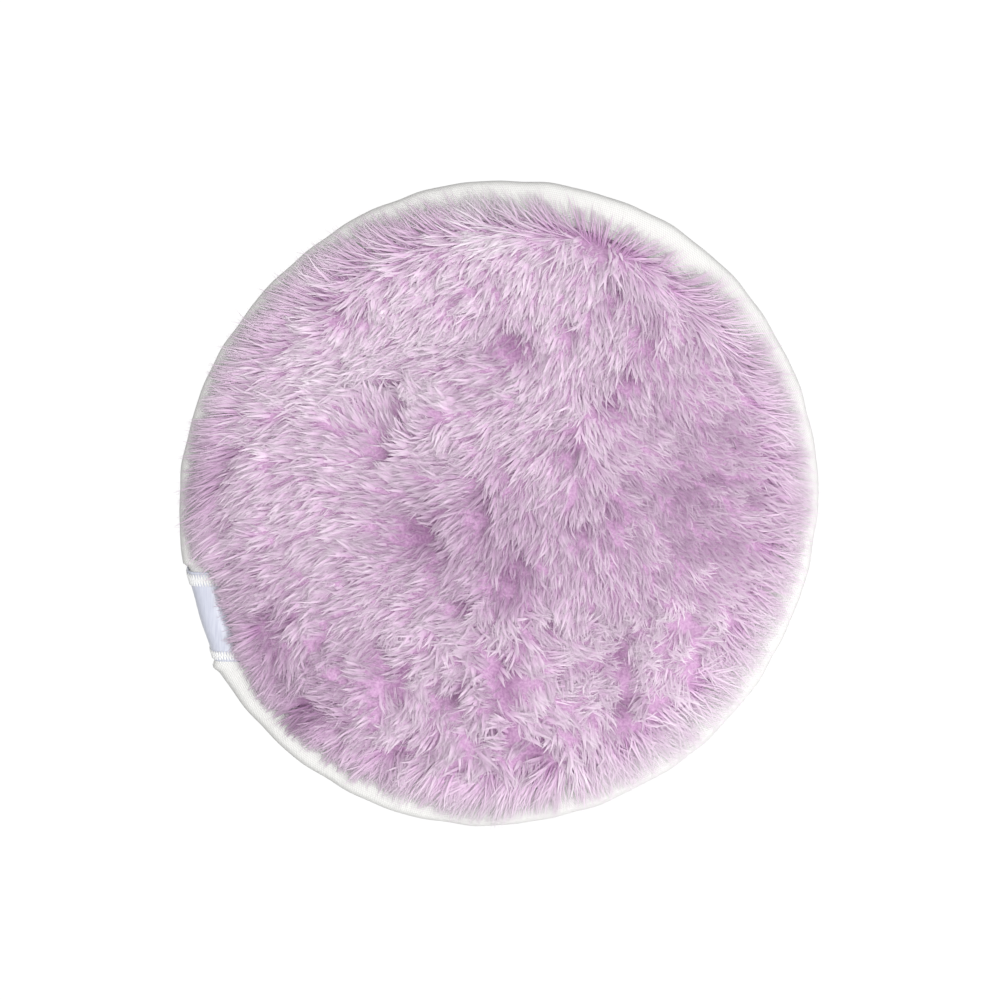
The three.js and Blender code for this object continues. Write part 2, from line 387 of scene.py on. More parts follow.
TONE = 0.79  # of a lock in the open; 0 is deep and 1 is soft
MAP_EDGE = 0.03  # the colour map keeps this far inside its square
# Darker towards the roots: partly the dye, partly painted shade deep in the pile.
ROOT_DEEP = (0.30, 0.14, 0.29, 1)
SHAFT_DEEP = (0.36, 0.20, 0.35, 1)
TIP_DEEP = (0.42, 0.26, 0.41, 1)
ROOT_SOFT = (0.66, 0.365, 0.64, 1)
SHAFT_SOFT = (0.81, 0.585, 0.785, 1)
TIP_SOFT = (0.855, 0.745, 0.835, 1)
TIP_PALE = (0.94, 0.89, 0.93, 1)  # painted light: near white tips at the rim, most on the side towards the low lamp
TONE_SPAN = 0.7  # share of the colour map from deep to soft; the rest goes on to pale
LIT_WAY = (0.86, -0.51)  # towards the low lamp, across the table
SOFT_SHADING = 0.9  # light goes through fine strands, so most of their shading is the face's own

# Brush strokes on the front pile: x and y in millimetres, and the way the tips point, in degrees.
STROKES = [
    (-33, 44, 150), (-46, 32, 152), (-11, 50, 203), (3, 51, 200), (13, 49, 212), (19, 45, 246),
    (25, 44, 275), (31, 42, 305), (36, 40, -30), (53, 25, -25), (-22, 34, 235), (-37, 25, 193),
    (-48, 23, 180), (-9, 40, 225), (2, 42, 240), (10, 44, 248), (-13, 25, 202), (0, 22, 193),
    (10, 30, 256), (27, 32, 257), (36, 29, 270), (30, 21, 288), (38, 19, -40), (-48, 14, 186),
    (-39, 12, 190), (-24, 12, 140), (-16, 16, 110), (-3, 12, 207), (6, 15, 218), (-15, 6, 175),
    (-5, 4, 188), (1, 4, 256), (-24, 2, 168), (-54, 2, 245), (-40, 2, 220), (12, 4, 250), (27, 12, -35),
    (42, 12, -20), (51, 6, -33), (27, 2, -50), (-29, -3, 212), (-20, -7, 165), (-45, -9, 200),
    (-15, -13, 200), (-5, -11, 225), (3, -11, 265), (12, -11, 268), (26, -4, -55), (36, -3, -40),
    (49, -3, -12), (51, -13, -25), (26, -15, -66), (-37, -17, 217), (-28, -19, 190), (-48, -18, 195),
    (-11, -20, 187), (17, -17, 270), (45, -18, -38), (-3, -26, 197), (6, -26, -18), (17, -28, 0),
    (-13, -27, 250), (-37, -28, 237), (-26, -30, 193), (10, -30, -42), (27, -24, 232), (33, -31, -33),
    (45, -28, -30), (-28, -36, 209), (-23, -41, 238), (-7, -41, 240), (8, -35, -57), (19, -35, -62),
    (42, -35, -35), (-13, -50, 226), (-1, -53, 215), (9, -53, 240), (19, -50, -55), (28, -45, -40),
]
# Partings that show the depth of the pile: x, y, half width and half height in millimetres.
PARTINGS = [
    (-14.2, -5.8, 5.2, 4.8), (-9.5, -9, 2, 2.5), (3.4, 30.4, 4.2, 4.8), (1.3, -33, 2.4, 5),
    (2, -13, 2.6, 3.6), (7.2, -45, 3.2, 4.2), (-20, 9, 2.4, 3.2), (-19, 21, 2.6, 2.4),
    (20.5, 19, 2.6, 2.6), (22, -28.5, 1.6, 4), (-19, -30.5, 2.3, 5.2), (-2, -1, 1.7, 4),
    (-26, 36, 5, 1.4), (-0.5, -42, 3, 3), (-8, -35, 3.2, 2.4), (8.6, -22, 1.8, 2.6),
    (11.7, -34, 1.6, 2.6), (-6, -17.6, 1.8, 2.2), (-14, -44, 3.4, 1.8), (22, -38.5, 2.8, 3.4),
    (-18, -46.5, 1.4, 2.5), (4.5, -9, 2.4, 3.4), (3.4, 8.5, 1.2, 3), (-17.5, 15.2, 1.3, 3),
    (13.4, 10.6, 1.8, 2.2), (15, -3.7, 2.2, 2.2), (21.7, 40, 1.4, 2.6), (14, 34, 1.4, 2.4),
    (28, 31, 1.2, 2.6), (24, 23.7, 2.6, 2.2), (-4.7, 28, 2, 1.4), (21, -2.3, 1.7, 2.2), (-40, -22, 2, 3),
    (-33, -38, 3, 1.6),
]
# Paler and darker patches: x, y and half width in millimetres, and change of tone. The darker patch at the
# left rim is painted shade, on the side away from the low lamp, and the paler one low on the right is painted
# light from that lamp.
PATCHES = [
    (-33, -32, 13, -0.32), (35, -33, 14, 0.2), (-38, 30, 18, 0.15), (-20, 44, 16, 0.1),
    (30, 38, 14, -0.1), (2, 54, 9, 0.4), (-52, 8, 10, -0.2), (5, -52, 10, 0.1), (0, -7, 14, -0.34),
    (-42, -17, 12, -0.2), (34, 2, 16, -0.36), (-5, -44, 9, -0.12),
]
# Degrees round the pad, width of tape that is left bare there, and width over which the tips thin out.
BARE_TAPE = [
    (0, -0.4, 2.5), (15, 0.9, 2.5), (30, 0.4, 2.5), (45, 0.8, 2.5), (60, 3.6, 2.5), (75, 2.2, 3),
    (90, 1.3, 3), (105, 1.5, 3), (120, 0.4, 1.6), (135, 0.4, 1.2), (150, 0.3, 1.1), (165, 0.35, 1.0),
    (180, 0.7, 1.0), (188, 1.8, 1.2), (194, 3.2, 1.2), (207, 3.5, 1.5), (215, 3.2, 1.5), (225, 2.6, 2),
    (240, 2.3, 2.5), (255, 1.8, 3), (270, 0, 3), (285, -0.2, 3), (300, -1.1, 3), (315, -1.1, 3),
    (330, -0.1, 3), (345, 0.3, 2.5),
]


def new_tree(name, measures=(), counts=()):
    """Geometry node tree with named inputs, and those inputs as fields."""
    tree = bpy.data.node_groups.new(name, "GeometryNodeTree")
    kinds = {"Geometry": "Geometry", **dict.fromkeys(measures, "Float"), **dict.fromkeys(counts, "Int")}
    for label, kind in kinds.items():
        tree.interface.new_socket(label, in_out="INPUT", socket_type="NodeSocket" + kind)
    tree.interface.new_socket("Geometry", in_out="OUTPUT", socket_type="NodeSocketGeometry")
    entry = tree.nodes.new("NodeGroupInput")
    return tree, {s.name: Field(s) for s in entry.outputs if s.name}


def end_tree(geometry):
    """Closes the tree of a geometry: realized, and shaded smooth."""
    real = wire(geometry.tree, "GeometryNodeRealizeInstances", {"Geometry": geometry})
    smooth = wire(geometry.tree, "GeometryNodeSetShadeSmooth", {"Geometry": real})
    feed(geometry.tree.nodes.new("NodeGroupOutput").inputs["Geometry"], smooth)


def store(geometry, name, value):
    """Keeps a field on the points of the geometry under a name."""
    inputs = {"Geometry": geometry, "Name": name, "Value": value}
    kind = "FLOAT_VECTOR" if value.is_vector else "FLOAT"
    return wire(geometry.tree, "GeometryNodeStoreNamedAttribute", inputs, data_type=kind)


def store_map(geometry, u, v):
    """Keeps the place of each corner on the colour map."""
    inputs = {"Geometry": geometry, "Name": "OFBake", "Value": xyz(geometry.tree, u, v, 0.0)}
    kinds = {"data_type": "FLOAT2", "domain": "CORNER"}
    return wire(geometry.tree, "GeometryNodeStoreNamedAttribute", inputs, **kinds)


def named(tree, name, data_type="FLOAT"):
    return wire(tree, "GeometryNodeInputNamedAttribute", {"Name": name}, data_type=data_type)


def xyz(tree, x, y, z):
    return wire(tree, "ShaderNodeCombineXYZ", {"X": x, "Y": y, "Z": z})


def parts_of(vector):
    """The x, y and z of a vector, as fields."""
    node = vector.tree.nodes.new("ShaderNodeSeparateXYZ")
    feed(node.inputs[0], vector)
    return [Field(s) for s in node.outputs]


def mixed(share, first, second, blend="MIX"):
    """Two colours mixed by a share."""
    node = first.tree.nodes.new("ShaderNodeMix")
    node.data_type = "RGBA"
    node.blend_type = blend
    for place, value in ((0, share), (6, first), (7, second)):
        feed(node.inputs[place], value)
    return Field(node.outputs[2])


def grown(name, points, edges, faces, attributes, tree, sizes):
    """Runs a tree on points, edges or faces with attributes and returns the result as a plain mesh."""
    seed_mesh = bpy.data.meshes.new(name)
    seed_mesh.from_pydata(points.reshape(-1, 3).tolist(), edges, faces)
    for label, values in attributes.items():
        kind, key = ("FLOAT", "value") if values.ndim == 1 else ("FLOAT_VECTOR", "vector")
        layer = seed_mesh.attributes.new(label, kind, "POINT")
        layer.data.foreach_set(key, values.astype(np.float32).ravel())
    source = in_scene(name + "_seed", seed_mesh)
    modifier = source.modifiers.new(tree.name, "NODES")
    modifier.node_group = tree
    for item in tree.interface.items_tree:
        if item.in_out == "INPUT" and item.name in sizes:
            modifier[item.identifier] = sizes[item.name]
    depsgraph = bpy.context.evaluated_depsgraph_get()
    mesh = bpy.data.meshes.new_from_object(source.evaluated_get(depsgraph))
    bpy.data.objects.remove(source)
    bpy.data.meshes.remove(seed_mesh)
    for layer in list(mesh.attributes):
        own = layer.is_required or layer.is_internal or layer.name == "custom_normal"
        if layer.domain in ("POINT", "INSTANCE") and not own:
            mesh.attributes.remove(layer)
    mesh.name = name
    return mesh


# Tree that grows the pile: every point of the input is the root of a lock. It is run once for the locks
# themselves, and once for the fine strands over them.
pile_tree, pile_in = new_tree(
    "plush_pile",
    ("Width", "Flatness", "Spread", "Streaks", "Softness"),
    ("Strands", "Sides", "Rings", "Seed"),
)


def of_lock(name, data_type="FLOAT"):
    """What is known of the lock or strand that a point belongs to."""
    return named(pile_tree, name, data_type)


def chance(draw, low=0.0, high=1.0):
    """A random number for each strand. Each draw has its own seed."""
    inputs = {"Min": low, "Max": high, "Seed": pile_in["Seed"] + draw}
    return wire(pile_tree, "FunctionNodeRandomValue", inputs, data_type="FLOAT")


def swung(first, second, turn):
    """First direction turned towards the second."""
    return first * sum_node("COSINE", turn) + second * sum_node("SINE", turn)


locks = wire(pile_tree, "GeometryNodeMeshToPoints", {"Mesh": pile_in["Geometry"]})
copies = {"Geometry": locks, "Amount": pile_in["Strands"]}
strands = wire(pile_tree, "GeometryNodeDuplicateElements", copies, domain="POINT")
ahead = of_lock("ahead", "FLOAT_VECTOR")
aside = of_lock("aside", "FLOAT_VECTOR")
up = xyz(pile_tree, 0.0, 0.0, of_lock("side"))
round_lock = chance(1, 0.0, 2 * math.pi)
from_middle = sum_node("SQRT", chance(2)) * pile_in["Spread"]
spread = ahead * (sum_node("COSINE", round_lock) * from_middle) + aside * (
    sum_node("SINE", round_lock) * from_middle
)
loose = chance(3) ** 10.0 * of_lock("fly") * sum_node("SIGN", pile_in["Spread"])
for label, value in (
    ("spread", spread),
    ("loose", loose),
    ("long", of_lock("length") * chance(4, 0.88, 1.08)),
    ("shade", of_lock("tone") + chance(5, -0.05, 0.05)),
    ("stray", chance(6, -0.9, 0.9) * loose + chance(7, -0.05, 0.05)),
    ("lie", of_lock("lay") + chance(8, -0.07, 0.07) - loose * 0.25),
    ("shift", chance(9)),
    ("root", wire(pile_tree, "GeometryNodeInputPosition")),
):
    strands = store(strands, label, value)
cone = {"Vertices": pile_in["Sides"], "Side Segments": pile_in["Rings"], "Depth": 1.0}
hair = wire(pile_tree, "GeometryNodeMeshCone", cone, fill_type="NGON")
hair_place = wire(pile_tree, "GeometryNodeInputPosition")
hair_x, hair_y, _ = parts_of(hair_place)
hair_side = sum_node("SINE", sum_node("ARCTAN2", hair_y, hair_x) * 17.3)
hair = store(hair, "local", hair_place)
hair = store(hair, "streak", sum_node("FRACT", hair_side * 43.7))
pile = wire(pile_tree, "GeometryNodeInstanceOnPoints", {"Points": strands, "Instance": hair})
pile = wire(pile_tree, "GeometryNodeRealizeInstances", {"Geometry": pile})

across, beside, along = parts_of(of_lock("local", "FLOAT_VECTOR"))
swell = along * 2.2 + 0.6
along = along ** 0.8
streak = sum_node("FRACT", of_lock("streak") + of_lock("shift")) - 0.5
streak = streak * pile_in["Streaks"]
stand = of_lock("stand")
bend = of_lock("lie") - stand
length = of_lock("long")
turn = stand + bend * along
rise = length * (sum_node("SINE", turn) - sum_node("SINE", stand)) / bend
throw = length * (sum_node("COSINE", stand) - sum_node("COSINE", turn)) / bend
heading = of_lock("curl") * along + of_lock("stray")
forth = swung(ahead, aside, heading)
sway = sum_node("SINE", along * 5.5 + of_lock("phase")) * along * of_lock("wave")
closing = 1.0 - (along ** 1.4) * 0.92 * (1.0 - of_lock("loose"))
line = of_lock("root", "FLOAT_VECTOR") + of_lock("spread", "FLOAT_VECTOR") * closing
line = line + up * rise + forth * throw + aside * sway
line = line + of_lock("gather", "FLOAT_VECTOR") * (along ** 1.5)
thick = pile_in["Width"] * 0.5 * of_lock("girth") * swell * (streak + 1.0)
rear_of_it = forth * sum_node("COSINE", turn) - up * sum_node("SINE", turn)
own_way = rear_of_it * (beside * pile_in["Flatness"]) - aside * (across * of_lock("side"))
line = line + own_way * thick
line_x, line_y, line_z = parts_of(line)
above_table = sum_node("MAXIMUM", line_z, along * thick)
line = xyz(pile_tree, line_x, line_y, above_table)
pile = wire(pile_tree, "GeometryNodeSetPosition", {"Geometry": pile, "Position": line})
outer = swung(up, ahead, of_lock("slope") * along)
faced = own_way * (1.0 - pile_in["Softness"]) + outer * pile_in["Softness"]
pile = wire(pile_tree, "GeometryNodeSetMeshNormal", {"Mesh": pile, "Custom Normal": faced}, mode="FREE")
colour_u = (of_lock("shade") + streak * 0.6) * TONE_SPAN
colour_u = sum_node("MINIMUM", sum_node("MAXIMUM", colour_u, MAP_EDGE), 1 - MAP_EDGE)
colour_u = colour_u + across * 0.01
colour_v = along * (1 - 2 * MAP_EDGE) + beside * 0.01 + MAP_EDGE
pile = store_map(pile, colour_u, colour_v)
end_tree(pile)

# Lilac of the strands: along a strand from root to tip, and from one strand to the next. The darker roots are
# partly painted shade deep in the pile.
lilac, lilac_tree, lilac_shader = new_material("lilac_pile", {"Roughness": 0.75, "Specular IOR Level": 0.06})
tone_here, place_on_strand, _ = parts_of(wire(lilac_tree, "ShaderNodeUVMap", uv_map="OFBake"))
deep = ramp(place_on_strand, [(0.05, ROOT_DEEP), (0.5, SHAFT_DEEP), (0.95, TIP_DEEP)])
soft = ramp(place_on_strand, [(0.12, ROOT_SOFT), (0.45, SHAFT_SOFT), (0.9, TIP_SOFT)])
strand_colour = mixed(tone_here / TONE_SPAN, deep, soft)
# Painted light: where the tone goes past the soft end, the tips are painted towards near white.
paler = (tone_here - TONE_SPAN) / (1 - MAP_EDGE - TONE_SPAN) * place_on_strand
feed(lilac_shader.inputs["Base Color"], mixed(paler, strand_colour, TIP_PALE))

# Knitted ground of the plush, hidden under the pile, and the short pile between the locks. Both are coloured
# darker than the locks, partly painted shade under and between them.
matte = {"Roughness": 0.95, "Specular IOR Level": 0.05}
knit_stops = [(0.35, CLOTH_LILAC), (0.65, tuple(min(1, 1.25 * c) for c in CLOTH_LILAC))]
knit, _, _ = mottled("lilac_knit", matte, KNIT_LOOP, 3, knit_stops, 0.5, 0.4 * KNIT_LOOP)
short_stops = [(0.35, UNDER_DEEP), (0.65, UNDER_SOFT)]
short_lilac, short_shader, nap = mottled("lilac_short_pile", matte, NAP, 3, short_stops, 0.5, 0.4 * NAP)
parting_shade = nap.tree.nodes.new("ShaderNodeAttribute")
parting_shade.attribute_name = "parting_shade"
closed_colour = Field(short_shader.inputs["Base Color"].links[0].from_socket)
parting_shade_colour = ramp(nap, [(0.35, PARTING_SHADE_DEEP), (0.65, PARTING_SHADE_SOFT)])
# Painted shade: the short pile is mixed to darker colours where the locks part over it.
feed(short_shader.inputs["Base Color"], mixed(Field(parting_shade.outputs["Fac"]), closed_colour, parting_shade_colour))

cloth_low = CORE_HALF + LAYER_GAP
cloth_rim = CORE_RIM_HALF + LAYER_GAP
cloth_line = [(0, cloth_low), (shoulder_in, cloth_low), (shoulder_out, cloth_rim), (core_edge, cloth_rim)]
cloth_section = cloth_line + [(out, height + CLOTH) for out, height in reversed(cloth_line)]
rng = np.random.default_rng(21)
lump_waves = rng.normal(0, 700, (9, 2))  # radians per metre of the soft unevenness of the short pile


def round_middle(points):
    """Distance from the middle and direction of flat points."""
    return np.hypot(*points.T), np.arctan2(points[:, 1], points[:, 0])


def heading_to(angle):
    """Flat vectors of length one that point a given way."""
    return np.stack([np.cos(angle), np.sin(angle)], axis=-1)


def scattered(spacing, reach):
    """Points on a jittered triangular grid, inside reach(angle)."""
    count = int(2.2 * PAD_RADIUS / spacing)
    column, row = np.meshgrid(np.arange(-count, count), np.arange(-count, count))
    x = (column + row % 2 / 2) * spacing
    y = row * spacing * math.sqrt(3) / 2
    points = np.stack([x, y], axis=-1).reshape(-1, 2)
    points = points + rng.uniform(-0.42, 0.42, points.shape) * spacing
    distance, angle = round_middle(points)
    return points[distance < reach(angle)]


def combed_front(points):
    """Lean of the pile at points: its direction, shorter where the strokes near it disagree."""
    stroke_at = np.array([s[:2] for s in STROKES]) * MM
    stroke_way = np.radians([s[2] for s in STROKES])
    apart = points[:, None] - stroke_at
    weight = 1 / (np.sum(apart**2, axis=-1) + (4 * MM) ** 2) ** 2
    weight /= weight.sum(axis=1, keepdims=True)
    return weight @ heading_to(stroke_way)


def combed_rear(points):
    """The rear pile lies one way, pressed down by the pad's own weight."""
    return np.tile(heading_to(REAR_WAY), (len(points), 1))


def parted(points):
    """How deep in a parting each point is, and the way out of it."""
    depth = np.zeros(len(points))
    away = np.zeros_like(points)
    for x, y, half_width, half_height in np.array(PARTINGS) * MM:
        off = (points - (x, y)) / (half_width, half_height)
        near = np.exp(-np.sum(off**2, axis=1))
        depth = np.maximum(depth, near)
        away += near[:, None] * off / (np.hypot(*off.T) + 0.2)[:, None]
    return depth, away


def pile_floor(points, depth, side):
    """Height of the short pile above the middle plane. It is lower where the pile parts."""
    distance, angle = round_middle(points)
    out = distance * PAD_RADIUS / edge_radius(angle, 0)
    cloth_height = np.interp(out, [shoulder_in, shoulder_out], [cloth_low + CLOTH, cloth_rim + CLOTH])
    from_rim = np.clip((shoulder_out - ROOT_INSET - out) / UNDER_ROUND, 0, 1)
    rounding = np.sqrt(1 - (1 - from_rim) ** 2)
    lumps = np.sin(points @ lump_waves.T + np.arange(len(lump_waves))).sum(axis=1) * 0.13 * MM
    height = cloth_height + (UNDERPILE[side] * (1 - 0.22 * depth) + lumps) * rounding
    return height if side > 0 else np.minimum(height, MIDDLE)  # the table presses the rear flat


def partings_of(points, side):
    """Partings on the front face. The rear has none."""
    return parted(points) if side > 0 else (np.zeros(len(points)), np.zeros_like(points))


def rim_bend(points, ahead_xy, floor_here, side):
    """Lean at the root and at the tip, length and thinning of locks at the rim.

    Such a lock rises past the tape's inner edge, and bends so that its tip comes down on the tape.
    """
    count = len(points)
    distance, angle = round_middle(points)
    direction, bare, thinning = np.array(BARE_TAPE).T
    bare = np.interp(np.degrees(angle), direction, bare, period=360) * MM
    bare = bare if side > 0 else np.maximum(bare, REAR_BARE)
    thinning = np.interp(np.degrees(angle), direction, thinning, period=360)
    short_of_edge = rng.uniform(0, 1, count) ** 1.3 * thinning * MM
    straight = np.clip(np.sum(ahead_xy * points, axis=1) / np.maximum(distance, 1e-9), 0.75, 1)
    reach = edge_radius(angle, 0) - bare - short_of_edge - distance
    to_edge = np.maximum(reach, RIM_LEAST) * RIM_SPARE / straight
    drop = EDGE_HALF + rng.uniform(0.2, 1.2, count) * MM - floor_here
    above_cloth = floor_here - cloth_rim - CLOTH
    stand_up = np.radians(np.clip(RIM_STAND[0] + 9 * above_cloth / MM, *RIM_STAND))
    lay_down = 2 * np.arctan2(to_edge, drop) - stand_up
    length = to_edge * (lay_down - stand_up) / (np.cos(stand_up) - np.cos(lay_down))
    return stand_up, lay_down, np.clip(length, RIM_SHORTEST, RIM_LONGEST), thinning


def lock_attributes(points, comb, side, fill):
    """Root, lean, length and tone of each lock on one face."""
    count = len(points)
    distance, angle = round_middle(points)
    outward = points / np.maximum(distance, 1e-9)[:, None]
    root_edge = edge_radius(angle, 0) - TAPE_FACE - ROOT_INSET
    rim = smooth_step(distance, root_edge - RIM_WIDTH, root_edge - 0.2 * RIM_WIDTH)
    combed = comb(points + rng.normal(0, COMB_BLUR, points.shape))
    outgoing = np.clip(np.sum(combed * outward, axis=1), 0, 1)
    # Where the pile is brushed inward, half of the locks at the rim stay with it.
    rim *= rng.uniform(0, 1, count) < 0.5 + 0.8 * outgoing
    tufts = scattered(TUFT_SPACING, lambda a: edge_radius(a, 0))
    tuft = np.argmin(np.sum((points[:, None] - tufts) ** 2, axis=-1), axis=1)
    tangled = smooth_step(-points[:, 1], *TANGLED) * (1 - rim)
    upright = smooth_step(points[:, 0] - 0.35 * np.maximum(points[:, 1], 0), *UPRIGHT)
    tuft_turn = rng.normal(0, 1, len(tufts))[tuft] * np.radians(6 + 3 * upright + 20 * tangled)
    lock_turn = rng.normal(0, 1, count) * np.radians(4 + 6 * upright + 3 * tangled + 7 * rim)
    tuft_tone = rng.normal(0, 0.065, len(tufts))[tuft]
    tuft_lay = rng.normal(0, math.radians(4), len(tufts))[tuft]
    tuft_curl = np.clip(rng.normal(0, 1, len(tufts)), -CURL_LIMIT, CURL_LIMIT)[tuft]
    depth, away = partings_of(points, side)
    kept = 1 - 0.5 * rim * (1 - outgoing)
    pushed = rim * (0.8 - 0.55 * outgoing)
    lean = combed * kept[:, None] + outward * pushed[:, None] + 0.5 * away
    agree = np.minimum(np.hypot(*lean.T), 1)
    tuft_turn *= 1 + 5 * (1 - agree)
    heading = np.arctan2(lean[:, 1], lean[:, 0]) + (tuft_turn + lock_turn) * (1 - 0.4 * rim)
    ahead_xy = heading_to(heading)
    bent_over = (FLATTEST - 20 * upright - STEEPEST) * agree**1.2
    lay_down = np.radians(STEEPEST + bent_over - 25 * depth) + tuft_lay
    lay_down += rng.normal(0, math.radians(4), count)
    stand_up = lay_down * rng.uniform(0.58, 0.76, count)
    floor_here = pile_floor(points, depth, side)
    downhill = np.arctan2(floor_here - pile_floor(points + ahead_xy * SLOPE_STEP, depth, side), SLOPE_STEP)
    length = LOCK_LENGTH * rng.normal(1, 0.1, count) * (1 - 0.35 * depth) * (1 - 0.22 * upright)
    rim_stand, rim_lay, rim_length, thinning = rim_bend(points, ahead_xy, floor_here, side)
    lay_down = (lay_down + 0.6 * downhill) * (1 - rim) + rim_lay * rim
    stand_up = (stand_up + 0.6 * downhill) * (1 - rim) + rim_stand * rim
    low = fill.astype(float)
    lay_down = lay_down * (1 - low) + np.radians(FILL_LAY + 18 * depth) * low
    stand_up = stand_up * (1 - low) + np.radians(FILL_STAND) * low
    rim_length = rim_length * (1 - low) + FILL_LENGTH * low
    length = length * (1 - low) + FILL_LENGTH * rng.uniform(0.7, 1.1, count) * low
    flat = np.zeros((count, 1))
    clumped = 0.46 + 0.18 * tangled
    curliness = 0.16 * (1 - rim) + 0.22 * tangled
    gather = (tufts[tuft] - points) * clumped[:, None]
    # Painted light: the rim is painted paler, and much paler on the side towards the low lamp.
    lit = np.sqrt(np.clip(outward @ LIT_WAY, 0, 1))
    tone = TONE + tuft_tone * (1 + upright) + rng.normal(0, 1, count) * (0.04 + 0.08 * low)
    # Painted shade: locks in a parting are painted darker by its depth.
    tone += (0.12 + 0.36 * lit) * rim - (0.5 - 0.05 * low) * depth - 0.06 * upright - 0.05 * low
    for x, y, half_width, change in PATCHES:
        tone += change * np.exp(-np.sum((points / MM - (x, y)) ** 2, axis=1) / half_width**2)
    thinned = (1 - 0.4 * upright) * (1 - (0.52 + 0.08 * thinning) * rim)
    return polar(distance, angle, side * (floor_here - ROOT_SINK * (1 - rim))), {
        "ahead": np.hstack([ahead_xy, flat]),
        "aside": np.hstack([-ahead_xy[:, 1:], ahead_xy[:, :1], flat]),
        "gather": np.hstack([gather, flat]),
        "side": np.full(count, float(side)),
        "length": length * (1 - rim) + rim_length * rim,
        "stand": stand_up,
        "lay": lay_down,
        "slope": RIM_SLOPE * rim,
        "curl": rng.normal(0, 1, count) * (0.12 + 0.14 * upright) + tuft_curl * curliness,
        "wave": rng.uniform(0.05, 0.3, count) * MM,
        "phase": rng.uniform(0, 2 * math.pi, count),
        "fly": 1 - 0.6 * rim,
        "girth": rng.uniform(0.75, 1.2, count) * thinned,
        "tone": np.clip(tone, 0.05, 1.3),
    }


def root_reach(angle):
    """Distance from the middle to the last of the pile."""
    return edge_radius(angle, TAPE_FACE + ROOT_INSET)


def short_pile(name, side):
    """The dense short pile of one face as a closed soft disc."""
    angle = even_angles(UNDER_COLUMNS)[:, None]
    share = np.sin(np.linspace(0, math.pi / 2, UNDER_ROWS))
    distance = share * root_reach(angle)
    flat = (distance[..., None] * heading_to(angle)).reshape(-1, 2)
    height = pile_floor(flat, partings_of(flat, side)[0], side).reshape(distance.shape)
    top = polar(distance, angle, side * height)
    under = np.tile([0, 0, MIDDLE + side * cloth_low], (UNDER_COLUMNS, 1, 1))
    mesh = skin(name, np.hstack([top, under]), grid_faces(UNDER_COLUMNS, UNDER_ROWS + 1, True, False))
    place = np.array([v.co[:2] for v in mesh.vertices])
    # How deep each point is in a parting, for the painted shade there.
    layer = mesh.attributes.new("parting_shade", "FLOAT", "POINT")
    layer.data.foreach_set("value", partings_of(place, side)[0].astype(np.float32))
    return mesh


def plush_face(name, side, comb, spacing, lock_sizes, strand_sizes, sectors):
    """Ground cloth of one face, its short pile, and its locks in sectors."""
    section = [(out, side * height) for out, height in cloth_section]
    cloth_mesh = turned_disc(name + "_cloth", section, CLOTH_COLUMNS)
    cloth = show(name + "_cloth", cloth_mesh, knit, name)
    under_name = name + "_short_pile"
    parts = [show(under_name, short_pile(under_name, side), short_lilac, name)]
    roots = scattered(spacing, root_reach)
    for _ in range(2):
        more = scattered(spacing, root_reach)
        roots = np.vstack([roots, more[np.hypot(*more.T) > shoulder_out - RIM_DENSE]])
    opened_up = partings_of(roots, side)[0] * rng.uniform(0.65, 1.2, len(roots)) > BARE_DEPTH
    roots = roots[~opened_up | (np.hypot(*roots.T) > shoulder_out - RIM_WIDTH - ROOT_INSET)]
    filler = scattered(FILL_SPACING * spacing / LOCK_SPACING, root_reach)
    fill = np.arange(len(roots) + len(filler)) >= len(roots)
    roots = np.vstack([roots, filler])
    places, attributes = lock_attributes(roots, comb, side, fill)
    sector = np.floor(round_middle(roots)[1] / (2 * math.pi) * sectors).astype(int) % sectors
    for i in range(sectors):
        inside = sector == i
        for kind, sizes, chosen in (("locks", lock_sizes, inside & ~fill), ("strands", strand_sizes, inside)):
            here = {label: values[chosen] for label, values in attributes.items()}
            label = f"{name}_{kind}_{i + 1}"
            mesh = grown(label, places[chosen], [], [], here, pile_tree, {**sizes, "Seed": 40 * i})
            parts.append(show(label, mesh, lilac, name))


front_locks = {
    "Strands": 1,
    "Width": LOCK_WIDTH,
    "Flatness": LOCK_FLATNESS,
    "Spread": 0.0,
    "Streaks": LOCK_STREAKS,
    "Softness": SOFT_SHADING,
    "Sides": LOCK_SIDES,
    "Rings": 3,
}
front_strands = {
    "Strands": STRANDS,
    "Width": STRAND_WIDTH,
    "Flatness": 1.0,
    "Spread": STRAND_SPREAD,
    "Streaks": 0.0,
    "Softness": SOFT_SHADING,
    "Sides": 3,
    "Rings": 2,
}
plush_face("front_plush", 1, combed_front, LOCK_SPACING, front_locks, front_strands, SECTORS)
# The rear pile is seen only at its rim, so it has fewer and wider locks, shaded as they lie.
COARSER = 2
rear_locks = {**front_locks, "Width": COARSER * LOCK_WIDTH, "Softness": 0.0}
rear_strands = {
    **front_strands,
    "Width": 1.6 * STRAND_WIDTH,
    "Spread": COARSER * STRAND_SPREAD,
    "Softness": 0.0,
}
rear_spacing = COARSER * LOCK_SPACING
plush_face("rear_plush", -1, combed_rear, rear_spacing, rear_locks, rear_strands, SECTORS // 5)

# Edge binding
# An ivory tape with fine ribs across it, folded over the raw edge and sewn through both faces.
# The pull of the thread puckers it, so the outline is not quite a smooth curve.
TAPE = 0.7 * MM
SEAM_IN = 1.7 * MM
SEAM_DIP = 0.5 * MM
SEAM_WIDTH = 1.6 * MM
RIBS = 940
RIB_STEPS = 3
RIB_HEIGHT = 0.08 * MM
RIB_SLANT = math.tan(math.radians(30))  # the tape is cut on the bias, so its ribs lean
IVORY = (0.89, 0.885, 0.867, 1)
